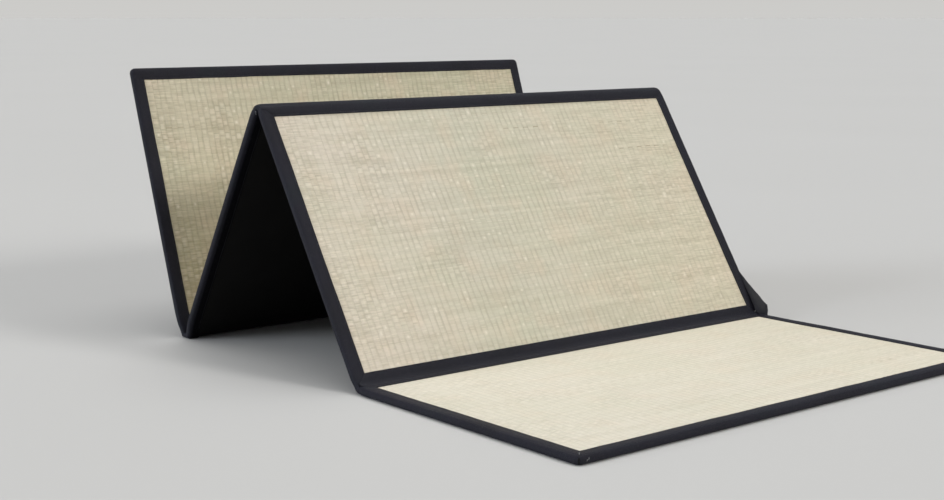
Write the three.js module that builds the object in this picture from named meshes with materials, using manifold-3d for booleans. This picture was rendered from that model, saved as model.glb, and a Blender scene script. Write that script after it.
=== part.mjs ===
// Folding tatami mat, standing in a zigzag as it does when it is being opened.
// Four padded panels with a woven rush face and a black cloth back are bound in black cloth
// and joined by cloth strips at three folds. Millimetres, +X along the folds, +Y to the back, +Z up.
import * as THREE from "three";
import { mergeVertices } from "three/addons/utils/BufferGeometryUtils.js";
import Module from "manifold-3d";

// Driving dimensions of the mat
const MAT_WIDTH = 900;
const PANEL_LENGTH = 475;
const LAST_PANEL_LENGTH = 484;
const PANEL_THICKNESS = 12.6;
const CORNER_RADIUS = 9;
const EDGE_RADIUS = 4;

// Cloth and rush
const CLOTH_THICKNESS = 1.2;
const RUSH_THICKNESS = 1.8;
const RUSH_TUCK = 10;
const SIDE_BINDING_WIDTH = 22;
const FOLD_STRIP_WIDTH = 19;
const END_BINDING_WIDTH = 22;

// How the folds stand, in degrees from the floor
const SLOPE_B = 57.3;
const SLOPE_D = 71.1;

// Ridge and valley folds
const RIDGE_RADIUS = 17;
const VALLEY_RADIUS = 2.5;
const FOLD_STRIP_END_INSET = 3;
const FOLD_SLACK = 0.4;

// Slack of the side binding, pinched up at the right end of the first fold
const GUSSET_HEIGHT_ON_B = 95;
const GUSSET_REACH_ON_A = 23;
const GUSSET_FRONT_HEIGHT = 20;
const GUSSET_FROM_EDGE = 2;

// Clearance between pieces that lie on each other, and fineness of the round stretches
const GAP = 0.3;
const CORNER_STEPS = 6;
const EDGE_STEPS = 3;
const BEND_STEPS = 8;

const wasm = await Module();
wasm.setup();

// Joining and cutting

function toSolid(geometry) {
  const bare = geometry.clone();
  bare.deleteAttribute("normal");
  bare.deleteAttribute("uv");
  const merged = mergeVertices(bare, 1e-4);
  return new wasm.Manifold(
    new wasm.Mesh({
      numProp: 3,
      vertProperties: merged.attributes.position.array,
      triVerts: new Uint32Array(merged.index.array),
    }),
  );
}

function toGeometry(solid) {
  const mesh = solid.getMesh();
  const geometry = new THREE.BufferGeometry();
  geometry.setAttribute("position", new THREE.BufferAttribute(mesh.vertProperties, 3));
  geometry.setIndex(new THREE.BufferAttribute(mesh.triVerts, 1));
  geometry.computeVertexNormals();
  return geometry;
}

// Finishes

const RUSH_FINISH = { color: 0xd2caad, roughness: 0.72, metalness: 0 };
const BINDING_FINISH = { color: 0x2a2a32, roughness: 0.88, metalness: 0 };
const BACKING_FINISH = { color: 0x17171a, roughness: 0.95, metalness: 0 };

function piece(name, geometry, finish) {
  const mesh = new THREE.Mesh(geometry, new THREE.MeshStandardMaterial(finish));
  mesh.name = name;
  return mesh;
}

// The zigzag: each panel's own frame has x along the fold, y along the panel from its front edge,
// z from the back cloth to the rush face. Its front edge on the back side sits at (y, z).

function alongPanel(panel, distance, height) {
  return {
    y: panel.y + distance * Math.cos(panel.slope) - height * Math.sin(panel.slope),
    z: panel.z + distance * Math.sin(panel.slope) + height * Math.cos(panel.slope),
  };
}

// How far a foot's rounded edge keeps the panel's square corner off the floor.
function footLift(slope) {
  return EDGE_RADIUS * (Math.sin(slope) + Math.cos(slope) - 1);
}

const slopeB = THREE.MathUtils.degToRad(SLOPE_B);
const slopeD = THREE.MathUtils.degToRad(SLOPE_D);

// Panel c falls from the ridge until its rounded foot touches the floor.
const ridgeHeight = PANEL_THICKNESS * (1 - Math.cos(slopeB)) + PANEL_LENGTH * Math.sin(slopeB);
const footReach = Math.hypot(PANEL_LENGTH - EDGE_RADIUS, EDGE_RADIUS);
const footAngle = Math.atan2(EDGE_RADIUS, PANEL_LENGTH - EDGE_RADIUS);
const slopeC = footAngle + Math.asin((ridgeHeight - EDGE_RADIUS) / footReach);

const panelA = {
  name: "a",
  length: PANEL_LENGTH,
  slope: 0,
  y: -PANEL_LENGTH,
  z: 0,
  frontFree: true,
  backFree: false,
};

// Panel b turns up about the rush side of panel a's back edge.
const panelB = {
  name: "b",
  length: PANEL_LENGTH,
  slope: slopeB,
  y: PANEL_THICKNESS * Math.sin(slopeB),
  z: PANEL_THICKNESS * (1 - Math.cos(slopeB)),
  frontFree: false,
  backFree: false,
};

// Panel c turns down about the back cloth at the top of panel b.
const ridge = alongPanel(panelB, PANEL_LENGTH, 0);
const panelC = {
  name: "c",
  length: PANEL_LENGTH,
  slope: -slopeC,
  y: ridge.y,
  z: ridge.z,
  frontFree: false,
  backFree: false,
};

// Panel d stands on the floor just behind panel c's rush face.
const footOfC = alongPanel(panelC, PANEL_LENGTH, PANEL_THICKNESS);
const faceStartD = { z: PANEL_THICKNESS * Math.cos(slopeD) - footLift(slopeD) };
faceStartD.y = footOfC.y + FOLD_SLACK - (footOfC.z - faceStartD.z) / Math.tan(slopeD);
const panelD = {
  name: "d",
  length: LAST_PANEL_LENGTH,
  slope: slopeD,
  y: faceStartD.y + PANEL_THICKNESS * Math.sin(slopeD),
  z: -footLift(slopeD),
  frontFree: false,
  backFree: true,
};

const panels = [panelA, panelB, panelC, panelD];

// Panel pieces, each in its panel's own frame

// A rounded rectangle in plan, drawn in by the given distance on every side.
function plan(panel, inset) {
  const half = MAT_WIDTH / 2 - inset;
  const front = (panel.frontFree ? 0 : FOLD_SLACK) + inset;
  const back = panel.length - (panel.backFree ? 0 : FOLD_SLACK) - inset;
  const radius = CORNER_RADIUS - inset;
  const shape = new THREE.Shape();
  shape.moveTo(-half + radius, front);
  shape.lineTo(half - radius, front);
  shape.absarc(half - radius, front + radius, radius, -Math.PI / 2, 0, false);
  shape.lineTo(half, back - radius);
  shape.absarc(half - radius, back - radius, radius, 0, Math.PI / 2, false);
  shape.lineTo(-half + radius, back);
  shape.absarc(-half + radius, back - radius, radius, Math.PI / 2, Math.PI, false);
  shape.lineTo(-half, front + radius);
  shape.absarc(-half + radius, front + radius, radius, Math.PI, 1.5 * Math.PI, false);
  return shape;
}

// A slab on a plan with both rims rounded.
function roundedSlab(panel, inset, bottom, top, rim) {
  const geometry = new THREE.ExtrudeGeometry(plan(panel, inset + rim), {
    depth: top - bottom - 2 * rim,
    bevelEnabled: true,
    bevelSize: rim,
    bevelThickness: rim,
    bevelSegments: EDGE_STEPS,
    curveSegments: CORNER_STEPS,
  });
  geometry.translate(0, 0, bottom + rim);
  return geometry;
}

function box(left, right, front, back, bottom, top) {
  const geometry = new THREE.BoxGeometry(right - left, back - front, top - bottom);
  geometry.translate((left + right) / 2, (front + back) / 2, (bottom + top) / 2);
  return geometry;
}

function prism(points, bottom, top) {
  const shape = new THREE.Shape(points.map(([x, y]) => new THREE.Vector2(x, y)));
  const geometry = new THREE.ExtrudeGeometry(shape, { depth: top - bottom, bevelEnabled: false });
  geometry.translate(0, 0, bottom);
  return geometry;
}

const BEYOND = 5;

// The part of a panel's rim that an end binding or a fold strip covers, mitred at both corners.
function mitredEnd(panel, atBack, width, grow) {
  const half = MAT_WIDTH / 2;
  const across = half - SIDE_BINDING_WIDTH;
  const edge = atBack ? panel.length : 0;
  const inward = atBack ? -1 : 1;
  const slope = width / SIDE_BINDING_WIDTH;
  const points = [
    [-half - BEYOND - grow, edge - inward * BEYOND * slope],
    [-across - grow, edge + inward * (width + grow)],
    [across + grow, edge + inward * (width + grow)],
    [half + BEYOND + grow, edge - inward * BEYOND * slope],
  ];
  return atBack ? points.reverse() : points;
}

function frontWidth(panel) {
  return panel.frontFree ? END_BINDING_WIDTH : FOLD_STRIP_WIDTH;
}

function backWidth(panel) {
  return panel.backFree ? END_BINDING_WIDTH : FOLD_STRIP_WIDTH;
}

// All the cloth that is folded round a panel, before it is cut into its strips.
function bindingRing(panel) {
  const half = MAT_WIDTH / 2;
  const inner = half - SIDE_BINDING_WIDTH;
  const outside = roundedSlab(panel, 0, 0, PANEL_THICKNESS, EDGE_RADIUS);
  const inside = roundedSlab(
    panel,
    CLOTH_THICKNESS,
    CLOTH_THICKNESS,
    PANEL_THICKNESS - CLOTH_THICKNESS,
    EDGE_RADIUS - CLOTH_THICKNESS,
  );
  const window = box(
    -inner,
    inner,
    frontWidth(panel),
    panel.length - backWidth(panel),
    -BEYOND,
    PANEL_THICKNESS + BEYOND,
  );
  return toSolid(outside).subtract(toSolid(inside)).subtract(toSolid(window));
}

const MID_THICKNESS = PANEL_THICKNESS / 2;

// A side binding keeps the rim's wall and both flaps, and makes room for its neighbours' mitres.
function sideBinding(panel, ring, isRight) {
  const half = MAT_WIDTH / 2;
  const inner = half - SIDE_BINDING_WIDTH;
  const reach = half + BEYOND;
  const keep = box(
    isRight ? inner : -reach,
    isRight ? reach : -inner,
    -BEYOND,
    panel.length + BEYOND,
    -BEYOND,
    PANEL_THICKNESS + BEYOND,
  );
  const top = PANEL_THICKNESS + BEYOND;
  const frontBottom = panel.frontFree ? -BEYOND : MID_THICKNESS;
  const backBottom = panel.backFree ? -BEYOND : MID_THICKNESS;
  const frontCut = prism(mitredEnd(panel, false, frontWidth(panel), 0), frontBottom, top);
  const backCut = prism(mitredEnd(panel, true, backWidth(panel), 0), backBottom, top);
  return toGeometry(
    ring.intersect(toSolid(keep)).subtract(toSolid(frontCut)).subtract(toSolid(backCut)),
  );
}

// An end binding is what lies between the side bindings' mitres.
function endBinding(panel, ring, atBack) {
  const width = atBack ? backWidth(panel) : frontWidth(panel);
  const region = mitredEnd(panel, atBack, width, -GAP);
  return toGeometry(
    ring.intersect(toSolid(prism(region, -BEYOND, PANEL_THICKNESS + BEYOND))),
  );
}

// The pad fills the binding, and its back cloth comes level with the binding's back flaps.
function pad(panel) {
  const inset = CLOTH_THICKNESS + GAP;
  const top = PANEL_THICKNESS - CLOTH_THICKNESS - RUSH_THICKNESS - 2 * GAP;
  const filling = roundedSlab(panel, inset, inset, top, EDGE_RADIUS - inset);
  const inner = MAT_WIDTH / 2 - SIDE_BINDING_WIDTH - GAP;
  const back = box(
    -inner,
    inner,
    panel.frontFree ? END_BINDING_WIDTH + GAP : inset + FOLD_SLACK,
    panel.length - (panel.backFree ? END_BINDING_WIDTH + GAP : inset + FOLD_SLACK),
    0,
    MID_THICKNESS,
  );
  return toGeometry(toSolid(filling).add(toSolid(back)));
}

// The rush facing lies on the pad and is tucked under the cloth on all four sides.
function rush(panel) {
  const side = MAT_WIDTH / 2 - SIDE_BINDING_WIDTH + RUSH_TUCK;
  const top = PANEL_THICKNESS - CLOTH_THICKNESS - GAP;
  return box(
    -side,
    side,
    frontWidth(panel) - RUSH_TUCK,
    panel.length - backWidth(panel) + RUSH_TUCK,
    top - RUSH_THICKNESS,
    top,
  );
}

function panelGroup(panel) {
  const group = new THREE.Group();
  const ring = bindingRing(panel);
  group.add(piece(`pad_${panel.name}`, pad(panel), BACKING_FINISH));
  group.add(piece(`rush_${panel.name}`, rush(panel), RUSH_FINISH));
  group.add(piece(`edge_left_${panel.name}`, sideBinding(panel, ring, false), BINDING_FINISH));
  group.add(piece(`edge_right_${panel.name}`, sideBinding(panel, ring, true), BINDING_FINISH));
  if (panel.frontFree) {
    group.add(piece("end_front", endBinding(panel, ring, false), BINDING_FINISH));
  }
  if (panel.backFree) {
    group.add(piece("end_back", endBinding(panel, ring, true), BINDING_FINISH));
  }
  group.position.set(0, panel.y, panel.z);
  group.rotation.x = panel.slope;
  return group;
}

// Fold strips, drawn in the mat's own section, y to the right and z up

// Points of an arc that rounds the corner where the line from one point meets the line to another.
function roundedBend(from, corner, to, radius) {
  const towards = (a, b) => new THREE.Vector2().subVectors(b, a).normalize();
  const back = towards(corner, from);
  const ahead = towards(corner, to);
  const half = Math.acos(back.dot(ahead)) / 2;
  const middle = back.clone().add(ahead).normalize();
  const centre = corner.clone().addScaledVector(middle, radius / Math.sin(half));
  const first = corner.clone().addScaledVector(back, radius / Math.tan(half)).sub(centre);
  const last = corner.clone().addScaledVector(ahead, radius / Math.tan(half)).sub(centre);
  const start = first.angle();
  const turn = Math.atan2(first.cross(last), first.dot(last));
  const points = [];
  for (let step = 0; step <= BEND_STEPS; step += 1) {
    const angle = start + (turn * step) / BEND_STEPS;
    points.push(
      new THREE.Vector2(centre.x + radius * Math.cos(angle), centre.y + radius * Math.sin(angle)),
    );
  }
  return points;
}

function onPanel(panel, distance, height) {
  const point = alongPanel(panel, distance, height);
  return new THREE.Vector2(point.y, point.z);
}

// Where two straight lines of the section cross.
function crossing(a, b, c, d) {
  const r = new THREE.Vector2().subVectors(b, a);
  const s = new THREE.Vector2().subVectors(d, c);
  const t = new THREE.Vector2().subVectors(c, a).cross(s) / r.cross(s);
  return a.clone().addScaledVector(r, t);
}

// One surface of a strip: along the first panel, round the bend and along the second.
function stripLine(first, second, height, radius) {
  const start = onPanel(first, first.length - FOLD_STRIP_WIDTH, height);
  const end = onPanel(second, FOLD_STRIP_WIDTH, height);
  const corner = crossing(
    start,
    onPanel(first, first.length, height),
    onPanel(second, 0, height),
    end,
  );
  return [start, ...roundedBend(start, corner, end, radius), end];
}

// The strip's ends meet the side bindings' mitres on both panels.
function foldStrip(first, second, faceRadius, underRadius) {
  const face = stripLine(first, second, PANEL_THICKNESS, faceRadius);
  const under = stripLine(first, second, PANEL_THICKNESS - CLOTH_THICKNESS, underRadius);
  const shape = new THREE.Shape([...face, ...under.reverse()]);
  const geometry = new THREE.ExtrudeGeometry(shape, { depth: MAT_WIDTH, bevelEnabled: false });
  const positions = geometry.attributes.position;
  const mitre = SIDE_BINDING_WIDTH / FOLD_STRIP_WIDTH;
  const firstEnd = onPanel(first, first.length, PANEL_THICKNESS);
  const secondStart = onPanel(second, 0, PANEL_THICKNESS);
  const firstAlong = onPanel(first, 0, PANEL_THICKNESS).sub(firstEnd).normalize();
  const secondAlong = onPanel(second, second.length, PANEL_THICKNESS).sub(secondStart).normalize();
  for (let i = 0; i < positions.count; i += 1) {
    const point = new THREE.Vector2(positions.getX(i), positions.getY(i));
    const onFirst = point.clone().sub(firstEnd).dot(firstAlong);
    const onSecond = point.clone().sub(secondStart).dot(secondAlong);
    const fromFold = Math.max(onFirst, onSecond, 0);
    const inset = Math.max(FOLD_STRIP_END_INSET, fromFold * mitre) + 2 * GAP;
    const end = MAT_WIDTH / 2 - inset;
    const isRight = positions.getZ(i) > MAT_WIDTH / 2;
    positions.setXYZ(i, isRight ? end : -end, point.x, point.y);
  }
  return geometry;
}

// The gusset stands on panel a's side binding and against panel b's.

function gusset() {
  const foot = onPanel(panelA, PANEL_LENGTH, PANEL_THICKNESS + GAP);
  const shape = new THREE.Shape([
    crossing(
      foot,
      onPanel(panelA, 0, PANEL_THICKNESS + GAP),
      onPanel(panelB, 0, PANEL_THICKNESS + GAP),
      onPanel(panelB, PANEL_LENGTH, PANEL_THICKNESS + GAP),
    ),
    onPanel(panelB, GUSSET_HEIGHT_ON_B, PANEL_THICKNESS + GAP),
    onPanel(panelA, PANEL_LENGTH - GUSSET_REACH_ON_A, PANEL_THICKNESS + GUSSET_FRONT_HEIGHT),
    onPanel(panelA, PANEL_LENGTH - GUSSET_REACH_ON_A, PANEL_THICKNESS + GAP),
  ]);
  const geometry = new THREE.ExtrudeGeometry(shape, {
    depth: CLOTH_THICKNESS,
    bevelEnabled: false,
  });
  const standing = new THREE.Matrix4().makeBasis(
    new THREE.Vector3(0, 1, 0),
    new THREE.Vector3(0, 0, 1),
    new THREE.Vector3(1, 0, 0),
  );
  geometry.applyMatrix4(standing);
  geometry.translate(MAT_WIDTH / 2 - GUSSET_FROM_EDGE - CLOTH_THICKNESS, 0, 0);
  return geometry;
}

// Assembly, with the origin on the floor below the middle of the folded mat

const mat = new THREE.Group();
for (const panel of panels) {
  mat.add(panelGroup(panel));
}
const valleyUnder = VALLEY_RADIUS + CLOTH_THICKNESS;
const ridgeUnder = RIDGE_RADIUS - CLOTH_THICKNESS;
mat.add(piece("fold_ab", foldStrip(panelA, panelB, VALLEY_RADIUS, valleyUnder), BINDING_FINISH));
mat.add(piece("fold_bc", foldStrip(panelB, panelC, RIDGE_RADIUS, ridgeUnder), BINDING_FINISH));
mat.add(piece("fold_cd", foldStrip(panelC, panelD, VALLEY_RADIUS, valleyUnder), BINDING_FINISH));
mat.add(piece("gusset_ab", gusset(), BINDING_FINISH));
const centre = new THREE.Box3().setFromObject(mat, true).getCenter(new THREE.Vector3());
mat.position.set(-centre.x, -centre.y, 0);

const part = new THREE.Group();
part.add(mat);

export default part;
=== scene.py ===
# A folding tatami mat, standing in a zigzag as it does when it is being opened.
# Metres, +X along the folds, +Y to the back, +Z up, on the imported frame.
import math

import bpy
import numpy as np
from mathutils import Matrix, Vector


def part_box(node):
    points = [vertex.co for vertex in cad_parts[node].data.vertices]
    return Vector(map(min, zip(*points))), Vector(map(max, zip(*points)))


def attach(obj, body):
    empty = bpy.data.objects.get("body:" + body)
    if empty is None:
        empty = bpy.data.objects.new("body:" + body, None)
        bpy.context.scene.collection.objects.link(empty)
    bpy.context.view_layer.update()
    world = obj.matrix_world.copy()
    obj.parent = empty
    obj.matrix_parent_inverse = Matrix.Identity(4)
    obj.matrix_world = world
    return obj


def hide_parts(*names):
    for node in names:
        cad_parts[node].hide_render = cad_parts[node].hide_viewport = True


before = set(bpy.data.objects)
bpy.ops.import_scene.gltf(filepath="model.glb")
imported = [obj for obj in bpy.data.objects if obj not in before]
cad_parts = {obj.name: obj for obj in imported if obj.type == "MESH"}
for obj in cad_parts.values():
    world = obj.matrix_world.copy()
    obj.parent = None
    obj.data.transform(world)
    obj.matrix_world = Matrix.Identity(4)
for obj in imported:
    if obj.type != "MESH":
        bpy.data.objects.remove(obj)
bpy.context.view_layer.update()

bpy.ops.object.select_all(action="DESELECT")


# The pads
# Four firm pads, each wrapped in black non-woven cloth that shows on the mat's back. They lie end to
# end and fold at three places, so every other piece of the mat is laid out on a panel's own frame.
MAT_WIDTH = 0.900
HALF_WIDTH = MAT_WIDTH / 2
THICKNESS = 0.0126
PANEL_LENGTH = 0.475
LAST_PANEL_LENGTH = 0.484
BINDING_WIDTH = 0.022
STRIP_WIDTH = 0.019
SLOPE_B = math.radians(57.3)
SLOPE_D = math.radians(71.1)
FOOT_RADIUS = 0.004
FOLD_SLACK = 0.0004
NO_FOLD = (0.0, 1.0)
DRAWN_AB = (0.0022, 0.010)
DRAWN_BC = (0.0022, 0.009)
DRAWN_CD = (0.0050, 0.022)
DRAW_FROM = 0.36


class Panel:
    """A panel's own frame: x along the folds, s up the panel from its front edge, n from back to face."""

    def __init__(self, name, length, slope, front_y, front_z, drawn, front_free=False, back_free=False):
        self.name, self.length, self.slope, self.drawn = name, length, slope, drawn
        self.front_y, self.front_z = front_y, front_z
        self.front_free, self.back_free = front_free, back_free
        self.front_cover = BINDING_WIDTH if front_free else STRIP_WIDTH
        self.back_cover = BINDING_WIDTH if back_free else STRIP_WIDTH

    def section(self, s, n):
        """(y, z) of a point in the mat's own section."""
        y = self.front_y + s * math.cos(self.slope) - n * math.sin(self.slope)
        z = self.front_z + s * math.sin(self.slope) + n * math.cos(self.slope)
        return np.stack(np.broadcast_arrays(y, z), axis=-1)

    def draw(self, x, s):
        """x after the sides are drawn in next to the folds, where the tape's inside is pleated."""
        pull = 0.0
        for (depth, reach), away in zip(self.drawn, (s, self.length - s)):
            pull = pull + depth * np.exp(-((np.maximum(away, 0.0) / reach) ** 2))
        return x - np.sign(x) * pull * np.clip((np.abs(x) - DRAW_FROM) / (HALF_WIDTH - DRAW_FROM), 0, 1)

    def place(self, x, s, n):
        """(x, y, z) of a point in the mat's frame."""
        x = self.draw(x, s)
        yz = self.section(s, n)
        return np.concatenate([np.broadcast_to(x, yz.shape[:-1])[..., None], yz], axis=-1)


mat_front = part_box("end_front")[0].y
panel_a = Panel("a", PANEL_LENGTH, 0.0, mat_front, 0.0, front_free=True, drawn=(NO_FOLD, DRAWN_AB))
b_start_y = mat_front + PANEL_LENGTH + THICKNESS * math.sin(SLOPE_B)
b_start_z = THICKNESS * (1 - math.cos(SLOPE_B))
panel_b = Panel("b", PANEL_LENGTH, SLOPE_B, b_start_y, b_start_z, drawn=(DRAWN_AB, DRAWN_BC))
ridge_y, ridge_z = panel_b.section(PANEL_LENGTH, 0.0)
foot_reach = math.hypot(PANEL_LENGTH - FOOT_RADIUS, FOOT_RADIUS)
foot_angle = math.atan2(FOOT_RADIUS, PANEL_LENGTH - FOOT_RADIUS)
slope_c = foot_angle + math.asin((ridge_z - FOOT_RADIUS) / foot_reach)
panel_c = Panel("c", PANEL_LENGTH, -slope_c, ridge_y, ridge_z, drawn=(DRAWN_BC, DRAWN_CD))
foot_lift = FOOT_RADIUS * (math.sin(SLOPE_D) + math.cos(SLOPE_D) - 1)
foot_y, foot_z = panel_c.section(PANEL_LENGTH, THICKNESS)
face_start_z = THICKNESS * math.cos(SLOPE_D) - foot_lift
face_start_y = foot_y + FOLD_SLACK - (foot_z - face_start_z) / math.tan(SLOPE_D)
d_start_y = face_start_y + THICKNESS * math.sin(SLOPE_D)
d_drawn = (DRAWN_CD, NO_FOLD)
panel_d = Panel("d", LAST_PANEL_LENGTH, SLOPE_D, d_start_y, -foot_lift, back_free=True, drawn=d_drawn)
panels = [panel_a, panel_b, panel_c, panel_d]

PAD_INSET = 0.0015
RUSH_TUCK = 0.010
PAD_TOP = 0.0112
RUSH_BED = 0.0090
CLEARANCE = 0.0003
BACKING_CUTS = 40
BACKING_WRINKLE = 0.0007
PAD_ROUNDING = 0.0030
BACK_LAP = 0.0032
BACK_RECESS = 0.0002
LATTICE = 61


def unevenness(a, b, size, seed):
    """Smooth random heights from -1 to 1 over (a, b), changing about every size metres."""
    lattice = np.random.default_rng(seed).uniform(-1, 1, (LATTICE, LATTICE))
    a, b = np.broadcast_arrays(np.asarray(a, float) / size, np.asarray(b, float) / size)
    i, j = np.floor(a).astype(int), np.floor(b).astype(int)
    f, g = a - i, b - j
    f, g = f * f * (3 - 2 * f), g * g * (3 - 2 * g)
    i, j, i1, j1 = i % LATTICE, j % LATTICE, (i + 1) % LATTICE, (j + 1) % LATTICE
    low = lattice[i, j] * (1 - f) + lattice[i1, j] * f
    high = lattice[i, j1] * (1 - f) + lattice[i1, j1] * f
    return low * (1 - g) + high * g


def read_points(piece):
    points = np.empty(len(piece.data.vertices) * 3, np.float32)
    piece.data.vertices.foreach_get("co", points)
    return points.reshape(-1, 3).astype(float)


def write_points(piece, points):
    piece.data.vertices.foreach_set("co", points.astype(np.float32).ravel())
    piece.data.update()


class Finish:
    """A procedural material and the few node calls that it is put together from."""

    def __init__(self, name, roughness, sheen=0.0, sheen_roughness=0.5):
        self.material = bpy.data.materials.new(name)
        self.material.use_nodes = True
        self.nodes = self.material.node_tree.nodes
        self.links = self.material.node_tree.links
        self.shader = self.nodes["Principled BSDF"]
        self.shader.inputs["Roughness"].default_value = roughness
        self.shader.inputs["Sheen Weight"].default_value = sheen
        self.shader.inputs["Sheen Roughness"].default_value = sheen_roughness

    def feed(self, socket, value):
        if isinstance(value, bpy.types.NodeSocket):
            self.links.new(value, socket)
        else:
            socket.default_value = value

    def math(self, operation, *values):
        node = self.nodes.new("ShaderNodeMath")
        node.operation = operation
        for socket, value in zip(node.inputs, values):
            self.feed(socket, value)
        return node.outputs[0]

    def times(self, product, *others):
        for value in others:
            product = self.math("MULTIPLY", product, value)
        return product

    def plus(self, total, *others):
        for value in others:
            total = self.math("ADD", total, value)
        return total

    def hump(self, value):
        """Rises from 0 to 1 and falls back over each whole step of a value."""
        return self.math("SINE", self.times(self.math("FRACT", value), math.pi))

    def stretch(self, x, x_scale, y, y_scale):
        return self.join(self.times(x, x_scale), self.times(y, y_scale))

    def join(self, x, y):
        node = self.nodes.new("ShaderNodeCombineXYZ")
        for socket, value in zip(node.inputs, (x, y, 0.0)):
            self.feed(socket, value)
        return node.outputs[0]

    def cloth_place(self):
        """Metres across and along the flat cloth, from the piece's own UV map."""
        uv = self.nodes.new("ShaderNodeUVMap")
        uv.uv_map = "flat_cloth"
        apart = self.nodes.new("ShaderNodeSeparateXYZ")
        self.links.new(uv.outputs[0], apart.inputs[0])
        return apart.outputs[0], apart.outputs[1]

    def object_place(self):
        return self.nodes.new("ShaderNodeTexCoord").outputs["Object"]

    def noise(self, vector, scale, detail=2.0, roughness=0.5):
        node = self.nodes.new("ShaderNodeTexNoise")
        self.links.new(vector, node.inputs["Vector"])
        node.inputs["Scale"].default_value = scale
        node.inputs["Detail"].default_value = detail
        node.inputs["Roughness"].default_value = roughness
        return node.outputs["Fac"]

    def chance(self, number):
        """A random value from 0 to 1 that belongs to a whole number."""
        node = self.nodes.new("ShaderNodeTexWhiteNoise")
        node.noise_dimensions = "1D"
        self.feed(node.inputs["W"], number)
        return node.outputs["Value"]

    def span(self, value, low, high, to_low=0.0, to_high=1.0):
        node = self.nodes.new("ShaderNodeMapRange")
        for socket, given in zip(node.inputs, (value, low, high, to_low, to_high)):
            self.feed(socket, given)
        return node.outputs[0]

    def ramp(self, value, *stops):
        node = self.nodes.new("ShaderNodeValToRGB")
        self.links.new(value, node.inputs[0])
        row = node.color_ramp.elements
        while len(row) < len(stops):
            row.new(0.5)
        for element, (position, colour) in zip(row, stops):
            element.position = position
            element.color = (*colour, 1)
        return node.outputs[0]

    def mix(self, factor, a, b):
        node = self.nodes.new("ShaderNodeMix")
        node.data_type = "RGBA"
        for index, value in ((0, factor), (6, a), (7, b)):
            self.feed(node.inputs[index], (*value, 1) if isinstance(value, tuple) else value)
        return node.outputs[2]

    def sway(self, amount, colour, light, dark):
        """A colour drawn towards light where the amount is above 0, and towards dark where it is below."""
        lit = self.mix(self.math("MAXIMUM", amount, 0.0), colour, light)
        return self.mix(self.math("MAXIMUM", self.times(amount, -1.0), 0.0), lit, dark)

    def colour(self, socket):
        self.links.new(socket, self.shader.inputs["Base Color"])

    def relief(self, height):
        """Bump from a height in metres."""
        bump = self.nodes.new("ShaderNodeBump")
        bump.inputs["Distance"].default_value = 1.0
        self.links.new(height, bump.inputs["Height"])
        self.links.new(bump.outputs[0], self.shader.inputs["Normal"])


def backing_finish():
    finish = Finish("black_non_woven_cloth", roughness=0.95, sheen=0.02)
    finish.shader.inputs["Specular IOR Level"].default_value = 0.2
    place = finish.object_place()
    cloud = finish.noise(place, 14, detail=4)
    fibre = finish.noise(place, 900, detail=3, roughness=0.7)
    tone = finish.plus(finish.times(cloud, 0.6), finish.times(fibre, 0.4))
    finish.colour(finish.ramp(tone, (0.3, (0.0035, 0.0034, 0.0033)), (0.7, (0.0085, 0.0080, 0.0078))))
    finish.relief(finish.times(fibre, 0.00035))
    return finish.material


def select_faces(piece, wanted):
    bpy.ops.object.mode_set(mode="EDIT")
    bpy.ops.mesh.select_mode(type="FACE")
    bpy.ops.mesh.select_all(action="DESELECT")
    bpy.ops.object.mode_set(mode="OBJECT")
    for face in piece.data.polygons:
        face.select = bool(wanted(face.center, face.normal))
    bpy.ops.object.mode_set(mode="EDIT")


def step_face(piece, side, half_x, front, back, move):
    """Cuts a rectangle into a pad's back (side -1) or face (side 1) and moves it in or out."""
    for point in ((half_x, 0, 0), (-half_x, 0, 0), (0, front, 0), (0, back, 0)):
        select_faces(piece, lambda centre, facing: facing.z * side > 0.9)
        bpy.ops.mesh.bisect(plane_co=point, plane_no=(1, 0, 0) if point[0] else (0, 1, 0))
    inside = lambda c, f: f.z * side > 0.9 and abs(c.x) < half_x and front < c.y < back
    select_faces(piece, inside)
    bpy.ops.mesh.extrude_region_move(TRANSFORM_OT_translate={"value": (0, 0, move)})


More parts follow.
